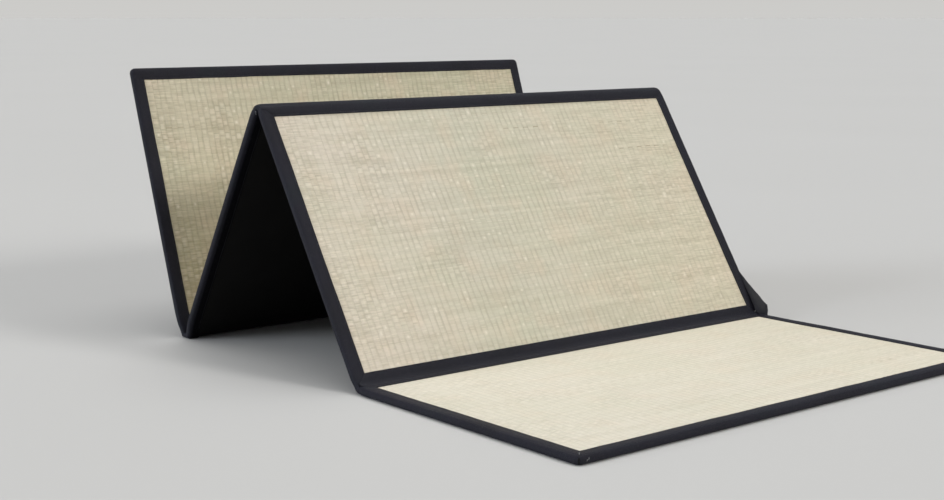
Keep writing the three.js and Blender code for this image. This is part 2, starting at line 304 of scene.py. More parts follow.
black_backing = backing_finish()
for number, panel in enumerate(panels):
    front_inset = PAD_INSET if panel.front_free else PAD_INSET + FOLD_SLACK
    back_inset = PAD_INSET if panel.back_free else PAD_INSET + FOLD_SLACK
    long = panel.length - front_inset - back_inset
    bpy.ops.object.select_all(action="DESELECT")
    bpy.ops.mesh.primitive_cube_add(size=1)
    pad = bpy.context.object
    pad.name = f"pad_in_backing_{panel.name}"
    bpy.ops.object.mode_set(mode="EDIT")
    bpy.ops.transform.resize(value=(MAT_WIDTH - 2 * PAD_INSET, long, PAD_TOP - PAD_INSET))
    bpy.ops.transform.translate(value=(0, front_inset + long / 2, (PAD_TOP + PAD_INSET) / 2))
    bpy.ops.mesh.bevel(offset=PAD_ROUNDING, segments=3, affect="EDGES")
    front_flap = BINDING_WIDTH if panel.front_free else front_inset + BACK_LAP
    back_flap = BINDING_WIDTH if panel.back_free else back_inset + BACK_LAP
    step_face(
        pad, -1, HALF_WIDTH - BINDING_WIDTH, front_flap, panel.length - back_flap, BACK_RECESS - PAD_INSET
    )
    bpy.ops.mesh.subdivide(number_cuts=BACKING_CUTS)
    step_face(
        pad,
        1,
        HALF_WIDTH - BINDING_WIDTH + RUSH_TUCK + CLEARANCE,
        panel.front_cover - RUSH_TUCK - CLEARANCE,
        panel.length - panel.back_cover + RUSH_TUCK + CLEARANCE,
        RUSH_BED - PAD_TOP,
    )
    bpy.ops.object.mode_set(mode="OBJECT")
    x, s, n = read_points(pad).T
    wrinkle = 0.5 + 0.5 * unevenness(x, s * 1.7, 0.11, 40 + number)
    wrinkle += 0.3 * unevenness(x * 1.4, s, 0.035, 50 + number)
    on_back = n < PAD_INSET * 0.6
    n = np.where(on_back, n + BACKING_WRINKLE * np.clip(wrinkle, 0, 1.4), n)
    write_points(pad, panel.place(x, s, n))
    bpy.ops.object.shade_smooth_by_angle(angle=math.radians(40))
    pad.data.materials.append(black_backing)
    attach(pad, "root")
    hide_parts(f"pad_{panel.name}")


# The rush facings
# A woven rush mat lies on each pad, tucked 10 mm under the cloth on all four sides. Rushes run across
# the mat over and under pairs of threads, so it shows ribs 11.5 mm wide, each a ladder of rushes.
RIBS = 76
RUSH_PITCH = 0.00165
RUSH_CREST = 0.0112
RIB_DEPTH = 0.0007
RUSH_DEPTH = 0.00028
BUNCH_PITCH = 0.0118
RUSH_CROWN = 0.0009
RUSH_THICKNESS = 0.0016
RUSH_UNEVEN = 0.45
PILLOW_DEPTH = 0.0007
STEM_DEPTH = 0.00006
FOOT_SHADE_REACH = 0.36
rush_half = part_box("rush_a")[1].x
rib_pitch = 2 * rush_half / RIBS


def lay_grid(name, points, flat):
    """A grid of faces laid at points (rows, columns, 3), with its flat cloth's metres as its UV map."""
    rows, columns = points.shape[:2]
    bpy.ops.object.select_all(action="DESELECT")
    bpy.ops.mesh.primitive_grid_add(x_subdivisions=columns - 1, y_subdivisions=rows - 1, size=1)
    piece = bpy.context.object
    piece.name = name
    start = read_points(piece)
    column = np.rint((start[:, 0] + 0.5) * (columns - 1)).astype(int)
    row = np.rint((start[:, 1] + 0.5) * (rows - 1)).astype(int)
    write_points(piece, points[row, column])
    corner = np.empty(len(piece.data.loops), np.int32)
    piece.data.loops.foreach_get("vertex_index", corner)
    for layer in list(piece.data.uv_layers):
        piece.data.uv_layers.remove(layer)
    layer = piece.data.uv_layers.new(name="flat_cloth")
    layer.data.foreach_set("uv", flat[row, column][corner].astype(np.float32).ravel())
    return piece


def rush_finish(name, tints, contrast, foot):
    """Rush weave on flat-cloth metres: tints from left to right, contrast, and how much its foot is
    browned and darkened, partly painted shade.
    """
    finish = Finish(name, roughness=0.62, sheen=0.10, sheen_roughness=0.4)
    u, v = finish.cloth_place()
    times, plus, hump, stretch = finish.times, finish.plus, finish.hump, finish.stretch
    span, mix, noise, chance = finish.span, finish.mix, finish.noise, finish.chance
    rib_at = finish.math("DIVIDE", u, rib_pitch)
    rib = finish.math("FLOOR", rib_at)
    across = finish.math("FRACT", rib_at)
    over = hump(rib_at)
    odd = finish.math("MODULO", rib, 2.0)
    half = times(odd, 0.5)
    row_at = plus(finish.math("DIVIDE", v, RUSH_PITCH), half)
    round_row = hump(row_at)
    strand = finish.math("SUBTRACT", times(finish.math("FLOOR", row_at), 2.0), odd)
    place = finish.join(u, v)
    wander = noise(stretch(u, 5.0, v, 26.0), 1.0)
    bunch_at = plus(finish.math("DIVIDE", v, BUNCH_PITCH), times(wander, 2.6), half)
    bunch_round = hump(bunch_at)
    bunch_key = plus(times(rib, 13.7), finish.math("FLOOR", bunch_at))
    margin = span(u, 0.0, 0.20, 0.17, 0.0)
    loose = span(plus(noise(place, 9, detail=2), margin), 0.53, 0.69)
    streaky = finish.math("MAXIMUM", span(u, 0.50, 0.80), span(u, 0.16, 0.0, 0.0, 1.0))
    along = noise(stretch(u, 6.0, strand, 7.31), 1.0)
    base = finish.ramp(span(u, 0.0, 2 * rush_half), *tints)
    drift = span(noise(place, 5, detail=3), 0.40, 0.62, 0.0, 0.38 * contrast)
    warmth = span(noise(place, 17, detail=2), 0.48, 0.70, 0.0, 0.34 * contrast)
    # Painted shade: browner and darker towards the panel's foot, in the fold; in part the rush's own
    # browning.
    foot_shaded = mix(span(v, FOOT_SHADE_REACH, 0.0, 0.0, foot), base, (0.46, 0.38, 0.20))
    drifted = mix(drift, foot_shaded, (0.55, 0.555, 0.40))
    warm = mix(warmth, drifted, (0.70, 0.55, 0.41))
    green = mix(span(along, 0.42, 0.72, 0.0, 0.25), warm, (0.47, 0.47, 0.31))
    pick = chance(strand)
    light = mix(span(pick, 0.70, 1.0, 0.0, 0.22), green, (0.82, 0.75, 0.61))
    tan = mix(span(pick, 0.20, 0.0, 0.0, 0.22), light, (0.42, 0.36, 0.23))
    brown = finish.math("GREATER_THAN", chance(plus(strand, 0.37)), 1 - 0.0045 * contrast)
    brown = times(brown, span(along, 0.57, 0.62, 0.0, 0.5))
    marked = mix(brown, tan, (0.26, 0.19, 0.10))
    band = noise(stretch(u, 5.0, v, 75.0), 1.0, detail=2)
    band = times(span(band, 0.34, 0.66, -1.0, 1.0), 0.13)
    streak = noise(stretch(u, 34.0, v, 430.0), 1.0, detail=2)
    streak = span(streak, 0.34, 0.66, -1.0, 1.0)
    streak = times(streak, span(streaky, 0.0, 1.0, 0.05, 0.26))
    streaks = times(plus(streak, band), contrast)
    streaked = finish.sway(streaks, marked, (0.86, 0.76, 0.62), (0.33, 0.27, 0.17))
    bunched = times(over, bunch_round)
    # Painted highlight: a bright glint on the tops of a few bunches.
    painted_glint = finish.math("GREATER_THAN", chance(plus(bunch_key, 0.61)), 0.95)
    painted_glint = times(painted_glint, finish.math("POWER", bunched, 5.0))
    glinted = mix(times(painted_glint, 0.45 * contrast), streaked, (0.92, 0.86, 0.74))
    # Each bunch is lighter or darker in its middle: partly a random tone, partly a painted highlight on
    # its rounded top.
    plump_and_highlight = times(span(chance(bunch_key), 0.0, 1.0, -0.9, 1.0), bunched)
    plump_and_highlight = times(plump_and_highlight, span(loose, 0.0, 1.0, 0.10 * contrast, 0.30 * contrast))
    plumped_and_highlighted = finish.sway(plump_and_highlight, glinted, (0.86, 0.79, 0.66), (0.40, 0.36, 0.25))
    # Painted shade: darker in the grooves between the ribs and round the edges of the bunches.
    edge = times(span(bunch_round, 0.0, 0.50, 0.38, 0.0), loose)
    groove = span(across, 0.62, 0.97, 0.0, 1.0)
    groove = finish.math("MAXIMUM", groove, span(across, 0.0, 0.16, 1.0, 0.0))
    depth = noise(stretch(rib, 3.3, v, 34.0), 1.0, detail=3)
    depth = span(depth, 0.36, 0.64, 0.04, 0.44)
    depth = times(depth, span(streaky, 0.0, 1.0, 1.0, 0.75))
    shade = times(finish.math("MAXIMUM", times(groove, depth), edge), contrast)
    finish.colour(mix(shade, plumped_and_highlighted, (0.30, 0.26, 0.17)))
    ladder = times(over, round_row, RUSH_DEPTH)
    rib_round = times(finish.math("POWER", over, 0.7), RIB_DEPTH)
    pillow = times(bunched, times(loose, PILLOW_DEPTH))
    stem = times(noise(stretch(u, 90.0, v, 5200.0), 1.0), STEM_DEPTH)
    finish.relief(times(plus(ladder, stem, rib_round, pillow), contrast))
    return finish.material


# For each panel: its tints, its contrast and how strong its browned, painted-shade foot is.
tints_contrast_foot_shade = {
    "a": (((0.0, (0.70, 0.65, 0.545)), (1.0, (0.705, 0.65, 0.53))), 0.50, 0.0),
    "b": (
        ((0.0, (0.71, 0.63, 0.53)), (0.40, (0.615, 0.585, 0.475)), (1.0, (0.66, 0.59, 0.45))),
        0.95,
        0.06,
    ),
    "c": (((0.0, (0.64, 0.58, 0.44)), (1.0, (0.63, 0.57, 0.43))), 1.0, 0.2),
    "d": (
        ((0.0, (0.675, 0.605, 0.455)), (0.5, (0.60, 0.56, 0.415)), (1.0, (0.59, 0.54, 0.375))),
        1.25,
        0.85,
    ),
}
for number, panel in enumerate(panels):
    front = panel.front_cover - RUSH_TUCK
    back = panel.length - panel.back_cover + RUSH_TUCK
    rows = 2 * round((back - front) / RUSH_PITCH) + 1
    columns = 2 * RIBS + 1
    row, column = np.mgrid[0:rows, 0:columns]
    x = -rush_half + column * rib_pitch / 2
    s = front + row * (back - front) / (rows - 1)
    flat = np.stack([x + rush_half, s - front], axis=-1)
    rng = np.random.default_rng(20 + number)
    thick = np.cumsum(rng.uniform(1 - RUSH_UNEVEN, 1 + RUSH_UNEVEN, rows))
    uneven_rows = (thick - thick[0]) / (thick[-1] - thick[0]) * (back - front)
    s = front + uneven_rows[:, None] + 0 * x
    over = column % 2
    crest = (row + column // 2) % 2
    side_room = np.minimum(rush_half - np.abs(x), np.minimum(s - front, back - s))
    free = np.clip((side_room - RUSH_TUCK + 0.001) / 0.004, 0.15, 1)
    inside = np.clip(side_room / 0.02, 0, 1)
    waver = 0.0007 * unevenness(x, s, 0.045, 21 + number)
    waver += 0.0010 * unevenness(x, s * 0.6, 0.16, 31 + number)
    s = s + inside * waver
    x = x + inside * 0.0006 * unevenness(x * 0.7, s, 0.028, 26 + number)
    crown = np.clip((side_room - RUSH_TUCK) / 0.10, 0, 1)
    swell = RUSH_CROWN * crown * (2 - crown) * (1 + 0.5 * unevenness(x, s, 0.13, 60 + number))
    n = RUSH_CREST + swell - free * np.where(over, RUSH_DEPTH * (1 - crest), RIB_DEPTH)
    n += free * 0.00016 * unevenness(x, s * 6, 0.012, 70 + number)
    facing = lay_grid(f"rush_facing_{panel.name}", panel.place(x, s, n), flat)
    bpy.ops.object.mode_set(mode="EDIT")
    bpy.ops.mesh.select_all(action="SELECT")
    bpy.ops.mesh.region_to_loop()
    down = panel.place(0, 0, -RUSH_THICKNESS) - panel.place(0, 0, 0)
    bpy.ops.mesh.extrude_edges_move(TRANSFORM_OT_translate={"value": tuple(down)})
    bpy.ops.mesh.edge_face_add()
    bpy.ops.object.mode_set(mode="OBJECT")
    bpy.ops.object.shade_smooth_by_angle(angle=math.radians(60))
    facing.data.materials.append(rush_finish(f"woven_rush_{panel.name}", *tints_contrast_foot_shade[panel.name]))
    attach(facing, "root")
    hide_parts(f"rush_{panel.name}")


# The side tapes
# Down each side one tape of black cloth, folded round the pads' rims and sewn through 2.6 mm from its
# turned-in edges. It goes on over all three folds, pleated on the inside of each and drawn in there.
CLOTH_THICKNESS = 0.0009
THREAD_PITCH = 0.0009
SHARP_FROM = math.radians(50)
RIM_RADIUS = THICKNESS / 2
RIM_SQUARENESS = 0.80
STITCH_INSET = 0.0026
SEAM_DIMPLE = 0.00042
SEAM_REACH = 0.0010
LIP_DROPS = (0.0013, 0.0006, 0.00015)
FLAP_SINK = 0.0002
FLAP_CROWN = 0.00075
EDGE_WANDER = 0.00045
FACE_RIPPLE = 0.00016
FACE_BOW = 0.00040
RIDGE_RADIUS = 0.017
VALLEY_RADIUS = 0.0025
CORNER_RADIUS = 0.009
TAPE_STEP = 0.0065
FINE_STEP = 0.002
FINE_REACH = 0.026
FAR = 9.0


def binding_finish(name, lift=0.0, shade=0.0, dull_shade_from=1.0):
    """Black cloth, lightened by lift (painted light), darkened by shade (painted shade), and rougher and
    darker past a distance across it (painted shade).
    """
    finish = Finish(name, roughness=0.58, sheen=0.02, sheen_roughness=0.5)
    finish.shader.inputs["Sheen Tint"].default_value = (0.62, 0.66, 0.85, 1)
    place = finish.object_place()
    u, v = finish.cloth_place()
    cloud = finish.noise(place, 9, detail=4, roughness=0.6)
    thread = finish.noise(finish.stretch(u, 240.0, v, 2400.0), 1.0, detail=1)
    base = finish.ramp(
        cloud,
        (0.35, (0.0056, 0.0054, 0.0098)),
        (0.52, (0.0078, 0.0072, 0.0142)),
        (0.68, (0.0072, 0.0090, 0.0142)),
    )
    worn = finish.mix(finish.span(thread, 0.45, 0.75, 0.0, 0.45), base, (0.017, 0.017, 0.026))
    lint = finish.math("GREATER_THAN", finish.noise(place, 1300, detail=0), 0.79)
    # lift draws the cloth towards grey, painted light; shade draws it darker, painted shade.
    painted_lit_and_shaded = finish.mix(shade, finish.mix(lift, worn, (0.10, 0.10, 0.11)), (0.003, 0.003, 0.005))
    # Past that distance, on the back flaps, the cloth is rougher, and darker with painted shade.
    dull_and_shaded = finish.span(u, dull_shade_from, dull_shade_from + 0.005)
    dulled_and_shaded = finish.mix(finish.times(dull_and_shaded, 0.85), painted_lit_and_shaded, (0.0030, 0.0030, 0.0035))
    finish.colour(finish.mix(finish.times(lint, 0.4), dulled_and_shaded, (0.16, 0.16, 0.16)))
    finish.feed(finish.shader.inputs["Roughness"], finish.span(dull_and_shaded, 0.0, 1.0, 0.58, 0.95))
    finish.feed(finish.shader.inputs["Specular IOR Level"], finish.span(dull_and_shaded, 0.0, 1.0, 0.20, 0.04))
    warp, weft = [finish.math("SINE", finish.times(way, 2 * math.pi / THREAD_PITCH)) for way in (u, v)]
    soft = finish.times(finish.noise(place, 120, detail=3), 0.00045)
    finish.relief(finish.plus(finish.times(warp, weft, 0.00006), soft))
    return finish.material


def flap_height(inward, width):
    """How far a flap's outside stands above the panel's own face, by distance inward from the rim."""
    from_edge = width - inward
    dimple = SEAM_DIMPLE * np.exp(-(((from_edge - STITCH_INSET) / SEAM_REACH) ** 2))
    share = np.clip(from_edge - STITCH_INSET, 0, width) / (width - STITCH_INSET)
    crown = FLAP_CROWN * np.sin(share * math.pi)
    return crown - dimple - FLAP_SINK


def binding_profile(width):
    """Columns of a folded binding: (inward from the rim, height n), from the face's edge to the back's."""
    lip_in = [width + 0.0001, width, width - 0.0005]
    face_in = np.concatenate([lip_in, np.linspace(width - 0.0013, RIM_RADIUS, 12)])
    face_n = THICKNESS + flap_height(face_in, width)
    face_n[:3] -= LIP_DROPS
    turn = np.linspace(math.pi / 2, -math.pi / 2, 13)[1:-1]
    rim_in = RIM_RADIUS * (1 - np.cos(turn) ** RIM_SQUARENESS) - 0.0003 * np.cos(turn)
    rim_n = RIM_RADIUS + RIM_RADIUS * np.sign(np.sin(turn)) * np.abs(np.sin(turn)) ** RIM_SQUARENESS
    back_in = np.concatenate([np.linspace(RIM_RADIUS, width - 0.0008, 8), [width]])
    back_n = np.full(9, 0.00005)
    back_n[-1] = 0.0007
    inward = np.concatenate([face_in, rim_in, back_in])
    height = np.concatenate([face_n, rim_n, back_n])
    run = np.concatenate([[0], np.cumsum(np.hypot(np.diff(inward), np.diff(height)))])
    return inward, height, run


def wavy_binding(along, seed):
    """A binding's rows down its length: inward, height, which of it is face, and the run across it."""
    inward, height, run = binding_profile(BINDING_WIDTH)
    d = np.broadcast_to(inward, (len(along), len(inward))).copy()
    n = np.broadcast_to(height, d.shape).copy()
    on_face = n > THICKNESS * 0.8
    wander = np.clip(d / BINDING_WIDTH, 0, 1) ** 2
    d += EDGE_WANDER * wander * unevenness(along, on_face * 7.0, 0.05, seed)
    n += np.where(on_face, FACE_RIPPLE, 0.0) * unevenness(along, d, 0.014, seed + 1)
    return d, n, on_face, run


def rounded_corner(inward_x, inward_s):
    """Draws a square corner in onto a round one; both distances are inward from the two rims."""
    a, b = CORNER_RADIUS - inward_x, CORNER_RADIUS - inward_s
    near = (a > 0) & (b > 0)
    ring = np.where(near, np.maximum(a, b) / np.maximum(np.hypot(a, b), 1e-9), 1)
    round_x = np.where(near, CORNER_RADIUS - a * ring, inward_x)
    return round_x, np.where(near, CORNER_RADIUS - b * ring, inward_s)


def thicken(piece, offset=-1):
    """Gives laid cloth its thickness, to the inside, or to both sides at an offset of 0."""
    layer = piece.modifiers.new("cloth_thickness", "SOLIDIFY")
    layer.thickness = CLOTH_THICKNESS
    layer.offset = offset
    bpy.ops.object.modifier_apply(modifier=layer.name)


def arc_points(centre, first, last, count):
    """Points on the arc from first to last round centre, the short way."""
    start, end = first - centre, last - centre
    radius = np.linalg.norm(start)
    angle = math.atan2(start[1], start[0])
    turn = math.atan2(start[0] * end[1] - start[1] * end[0], start @ end)
    steps = angle + turn * np.linspace(0, 1, count)
    return centre + radius * np.stack([np.cos(steps), np.sin(steps)], axis=-1)


def bend(first, second, ridge):
    """Rows round a fold: points on the face and on the back, and how far the bend reaches on a panel."""
    radius = RIDGE_RADIUS if ridge else VALLEY_RADIUS
    turn = abs(second.slope - first.slope)
    half = (math.pi - turn) / 2
    beyond = THICKNESS * math.tan(turn / 2) if ridge else 0.0
    reach = radius / math.tan(half) - beyond
    start = first.section(first.length - reach, THICKNESS)
    end = second.section(reach, THICKNESS)
    away = -1 if ridge else 1
    centre = first.section(first.length - reach, THICKNESS + away * radius)
    count = 17 if ridge else 13
    face = arc_points(centre, start, end, count)
    along_first = np.linspace(first.length - reach, first.length, 4)[:-1]
    along_second = np.linspace(0, reach, 4)[1:]
    if ridge:
        middle = np.linspace(0, 1, count - 6)[:, None]
        hinge = first.section(first.length, 0.0)
        gap = np.array([0.0006, 0.0])
        fan = hinge - gap + 2 * gap * middle
    else:
        hinge = (first.section(first.length, THICKNESS) + second.section(0.0, THICKNESS)) / 2
        fan = arc_points(hinge, first.section(first.length, 0.0), second.section(0.0, 0.0), count - 6)
    back = np.concatenate([first.section(along_first, 0.0), fan, second.section(along_second, 0.0)])
    back[:, 1] = np.maximum(back[:, 1], 0.0)
    return face, back, reach


def straight_steps(start, end):
    """Places from start to end, closer together near a fold or a corner."""
    places = [start]
    while places[-1] < end - 1e-6:
        here = places[-1]
        fine = here < start + FINE_REACH or here > end - FINE_REACH - TAPE_STEP
        places.append(min(end, here + (FINE_STEP if fine else TAPE_STEP)))
    if places[-1] - places[-2] < FINE_STEP / 2:
        del places[-2]
    return np.array(places)


folds = {
    "ab": (panel_a, panel_b, *bend(panel_a, panel_b, ridge=False)),
    "bc": (panel_b, panel_c, *bend(panel_b, panel_c, ridge=True)),
    "cd": (panel_c, panel_d, *bend(panel_c, panel_d, ridge=False)),
}


def tape_rows():
    """The whole tape's rows: face and back points, distance along it, to each fold, and to free ends."""
    face, back, to_fold, free_front, free_back, pull = [], [], [], [], [], []
    names = list(folds)
    for index, panel in enumerate(panels):
        before = folds[names[index - 1]] if index else None
        after = folds[names[index]] if index < 3 else None
        low = before[4] if before else 0.0
        high = panel.length - (after[4] if after else 0.0)
        s = straight_steps(low, high)
        face.append(panel.section(s, THICKNESS))
        back.append(panel.section(s, 0.0))
        beyond = np.full(len(s), FAR)
        from_back = panel.length - s
        to_fold.append(np.minimum(s if before else beyond, from_back if after else beyond))
        free_front.append(beyond if before else s)
        free_back.append(beyond if after else from_back)
        drawn = np.zeros(len(s))
        for (depth, wide), away in zip(panel.drawn, (s, from_back)):
            drawn += depth * np.exp(-((away / wide) ** 2))
        pull.append(drawn)
        if after:
            count = len(after[2]) - 2
            face.append(after[2][1:-1])
            back.append(after[3][1:-1])
            to_fold.append(np.zeros(count))
            free_front.append(np.full(count, FAR))
            free_back.append(np.full(count, FAR))
            pull.append(np.full(count, panel.drawn[1][0]))
    return [np.concatenate(part) for part in (face, back, to_fold, free_front, free_back, pull)]


# Past 36 mm across, on its back flaps, the tape is rougher and darkened with painted shade.
folded_binding = binding_finish("black_binding_tape", dull_shade_from=0.036)
row_face, row_back, row_to_fold, row_free_front, row_free_back, row_pull = tape_rows()
middle_line = (row_face + row_back) / 2
row_along = np.concatenate([[0], np.cumsum(np.linalg.norm(np.diff(middle_line, axis=0), axis=1))])
for side_name, side in (("left", -1), ("right", 1)):
    seed = 80 if side < 0 else 90
    along = row_along[:, None]
    d, n, on_face, run = wavy_binding(along, seed)
    bow = np.sin(np.clip(d / BINDING_WIDTH, 0, 1) * math.pi)
    n += np.where(on_face, FACE_BOW, 0.0) * bow * unevenness(along, d, 0.05, seed + 2)
    under_strip = np.clip((d - row_to_fold[:, None] * BINDING_WIDTH / STRIP_WIDTH) / 0.0015, 0, 1)
    under_strip *= np.clip((STRIP_WIDTH - row_to_fold[:, None]) / 0.0015, 0, 1)
    n = np.where(on_face, n + (THICKNESS - 0.0007 - n) * under_strip, n)
    share = (n / THICKNESS)[..., None]
    yz = row_back[:, None] * (1 - share) + row_face[:, None] * share
    for free_end, panel, ahead in ((row_free_front, panel_a, 1), (row_free_back, panel_d, -1)):
        near = free_end < FAR
        linear = np.broadcast_to(free_end[:, None], d.shape)
        slanted = linear + d * np.clip(1 - linear / BINDING_WIDTH, 0, 1)
        new_d, new_s = rounded_corner(d, slanted)
        d = np.where(near[:, None], new_d, d)
        s_place = new_s if ahead > 0 else panel.length - new_s
        yz = np.where(near[:, None, None], panel.section(s_place, n), yz)
    yz[..., 1] = np.maximum(yz[..., 1], 0.0)
    x = HALF_WIDTH - d
    x = side * (x - row_pull[:, None] * np.clip((x - DRAW_FROM) / (HALF_WIDTH - DRAW_FROM), 0, 1))
    points = np.concatenate([x[..., None], yz], axis=-1)
    flat = np.stack(np.broadcast_arrays(run[None, :], along), axis=-1)
    if side < 0:
        points, flat = points[:, ::-1], flat[:, ::-1]
    tape = lay_grid(f"side_tape_{side_name}", points, flat)
    thicken(tape)
    bpy.ops.object.shade_smooth_by_angle(angle=SHARP_FROM)
    tape.data.materials.append(folded_binding)
    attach(tape, "root")
    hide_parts(*[f"edge_{side_name}_{panel.name}" for panel in panels])


# The end bindings
# The same cloth is folded round the mat's two free ends, the front of panel a and the top of panel d,
# and mitred into the side tapes at the corners.
END_BOW = 0.00025

for end_name, panel, at_back in (("front", panel_a, False), ("back", panel_d, True)):
    across = straight_steps(-HALF_WIDTH, HALF_WIDTH)[:, None]
    seed = 100 if at_back else 110
    d, n, on_face, run = wavy_binding(across, seed)
    n += np.where(on_face, END_BOW, 0.0) * unevenness(across, d, 0.06, seed + 2)
    from_side = HALF_WIDTH - np.abs(across) + 0 * d
    slanted = from_side + d * np.clip(1 - from_side / BINDING_WIDTH, 0, 1)
    new_d, new_side = rounded_corner(d, slanted)
    x = np.sign(across) * (HALF_WIDTH - new_side)
    s = panel.length - new_d if at_back else new_d
    points = panel.place(x, s, n)
    flat = np.stack(np.broadcast_arrays(run[None, :], across + HALF_WIDTH), axis=-1)
    if at_back:
        points, flat = points[:, ::-1], flat[:, ::-1]
    band = lay_grid(f"end_binding_{end_name}", points, flat)
    thicken(band)
    bpy.ops.object.shade_smooth_by_angle(angle=SHARP_FROM)
    band.data.materials.append(folded_binding)
    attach(band, "root")
    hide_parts(f"end_{end_name}")


# The fold strips
# A strip of the same cloth is sewn over each fold on the rush side, 19 mm onto both panels, with its
# ends turned under on a slant over the side tapes. It is taut over the ridge and coves over the valleys.
STRIP_LIFT = 0.0003
STRIP_COLUMNS = 120
COVE_REACH = 0.0072
END_INSET = 0.0030
PLEAT_DEPTH = 0.0008
PLEAT_FROM = -0.34
PLEAT_AT = -0.0085
PLEAT_REACH = 0.0018
STRIP_RIPPLE = 0.00018
STRIP_BOW = 0.00035
END_DROP = 0.0009

# The strips' copy of the cloth is darker: painted shade.
shaded_strip_binding = binding_finish("black_binding_strip_shaded", shade=0.15)
for fold_name, (first, second, face, back, reach) in folds.items():
    ridge = fold_name == "bc"
    seed = {"ab": 120, "bc": 130, "cd": 140}[fold_name]
    if not ridge:
        reach = COVE_REACH
        radius = reach * math.tan((math.pi - abs(second.slope - first.slope)) / 2)
        centre = first.section(first.length - reach, THICKNESS + radius)
        sides = first.section(first.length - reach, THICKNESS), second.section(reach, THICKNESS)
        face = arc_points(centre, *sides, 17)
    steps = np.array([0.0, 0.0001, 0.0006, 0.0014, 0.0026, 0.0040, 0.0065, 0.0090, 0.0115])
    steps = np.concatenate([steps, [STRIP_WIDTH - reach]])
    drop = np.array([*LIP_DROPS] + [0.0] * (len(steps) - 3))
    from_edge = np.concatenate([steps, np.full(len(face) - 2, STRIP_WIDTH - reach), steps[::-1]])
    edge_drop = np.concatenate([drop, np.zeros(len(face) - 2), drop[::-1]])
    lift = STRIP_LIFT + flap_height(STRIP_WIDTH - from_edge, STRIP_WIDTH) + FLAP_SINK - edge_drop
    first_s = first.length - STRIP_WIDTH + steps
    second_s = STRIP_WIDTH - steps[::-1]
    line = np.concatenate(
        [first.section(first_s, THICKNESS), face[1:-1], second.section(second_s, THICKNESS)]
    )
    first_out = first.section(0.0, 1.0) - first.section(0.0, 0.0)
    second_out = second.section(0.0, 1.0) - second.section(0.0, 0.0)
    turn = np.concatenate([0 * steps, np.linspace(0, 1, len(face))[1:-1], 0 * steps + 1])
    out = first_out * (1 - turn[:, None]) + second_out * turn[:, None]
    out /= np.linalg.norm(out, axis=1)[:, None]
    in_bend = np.zeros(len(face) - 2) if ridge else np.abs(np.linspace(-reach, reach, len(face)))[1:-1]
    fold_distance = np.concatenate([first.length - first_s, in_bend, second_s])
    end_inset = np.maximum(fold_distance * BINDING_WIDTH / STRIP_WIDTH, END_INSET)
    run = np.concatenate([[0], np.cumsum(np.linalg.norm(np.diff(line, axis=0), axis=1))])
    share = np.linspace(-1, 1, STRIP_COLUMNS + 1)
    share = np.sign(share) * (1 - (1 - np.abs(share)) ** 1.15)
    x = share[None, :] * (HALF_WIDTH - end_inset[:, None])
    ripple = STRIP_RIPPLE * unevenness(x, run[:, None] * 2, 0.016, seed)
    ripple += STRIP_BOW * unevenness(x, run[:, None], 0.07, seed + 1)
    height = lift[:, None] + ripple * np.clip(from_edge[:, None] / 0.004, 0, 1)
    from_fold = run - run[-1] / 2
    pleat = PLEAT_DEPTH * np.exp(-(((from_fold - PLEAT_AT) / PLEAT_REACH) ** 2))[:, None]
    height -= pleat * np.clip((PLEAT_FROM - x) / 0.06, 0, 1) if ridge else 0.0
    end_round = np.clip((HALF_WIDTH - end_inset[:, None] - np.abs(x)) / 0.0012, 0, 1)
    height -= END_DROP * (1 - end_round) ** 2
    yz = line[:, None] + out[:, None] * height[..., None]
    flat = np.stack(np.broadcast_arrays(run[:, None], x + HALF_WIDTH), axis=-1)
    x = first.draw(x, first.length - fold_distance[:, None])
    points = np.concatenate([x[..., None], yz], axis=-1)
    strip = lay_grid(f"fold_strip_{fold_name}", points, flat)
    thicken(strip)
    bpy.ops.object.shade_smooth_by_angle(angle=SHARP_FROM)
    strip.data.materials.append(shaded_strip_binding)
    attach(strip, "root")
    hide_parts(f"fold_{fold_name}")


# The gusset
# The right-hand tape is left slack at the first fold, and its slack is pinched up and sewn into a web
# between panel a and panel b. It stands on edge, thin, with a turned free edge.
GUSSET_ON_B = 0.095
GUSSET_ON_A = 0.023
GUSSET_FRONT = 0.020
GUSSET_X = HALF_WIDTH - 0.0026
GUSSET_ROOT = THICKNESS - 0.0045
HEM_DEPTH = 0.0045
WEB_BULGE = 0.0016
WEB_CREASE = 0.0006

foot_s = np.linspace(PANEL_LENGTH - GUSSET_ON_A, PANEL_LENGTH - 0.001, 8)
rise_s = np.linspace(0.002, GUSSET_ON_B, 22)
foot_line = panel_a.section(foot_s, GUSSET_ROOT)
rise_line = panel_b.section(rise_s, GUSSET_ROOT)
rooted = np.concatenate([foot_line, rise_line])
root_x = np.concatenate([panel_a.draw(GUSSET_X, foot_s), panel_b.draw(GUSSET_X, rise_s)])[:, None]
front_top = foot_line[0] + (0.0, GUSSET_FRONT + THICKNESS - GUSSET_ROOT)
rise_share = np.linspace(0, 1, len(rooted) - 5)[:, None]
free_edge = np.concatenate(
    [
        foot_line[0] + (front_top - foot_line[0]) * np.linspace(0.55, 1, 5)[:, None],
        front_top + (rise_line[-1] + (-0.0004, 0.0010) - front_top) * rise_share,
    ]
)
sag = np.sin(np.linspace(0, 1, len(rooted)) * math.pi)[:, None]
free_edge += sag * np.array([0.0012, -0.0014])
height_of_web = np.linalg.norm(free_edge - rooted, axis=1)[:, None]
hem = np.minimum(HEM_DEPTH / height_of_web, 0.3)
flat_up = np.linspace(0, 1, 15)[None, :]
up = np.concatenate([flat_up + 0 * hem, 1 - hem * np.linspace(0.04, 1, 5)[None, :]], axis=1)
hem_turn = np.concatenate([np.zeros(15), [0.0006, 0.0011, 0.0011, 0.0010, 0.0008]])[None, :]
yz = rooted[:, None] * (1 - up[..., None]) + free_edge[:, None] * up[..., None]
bulge = WEB_BULGE * np.sin(up * math.pi) * sag
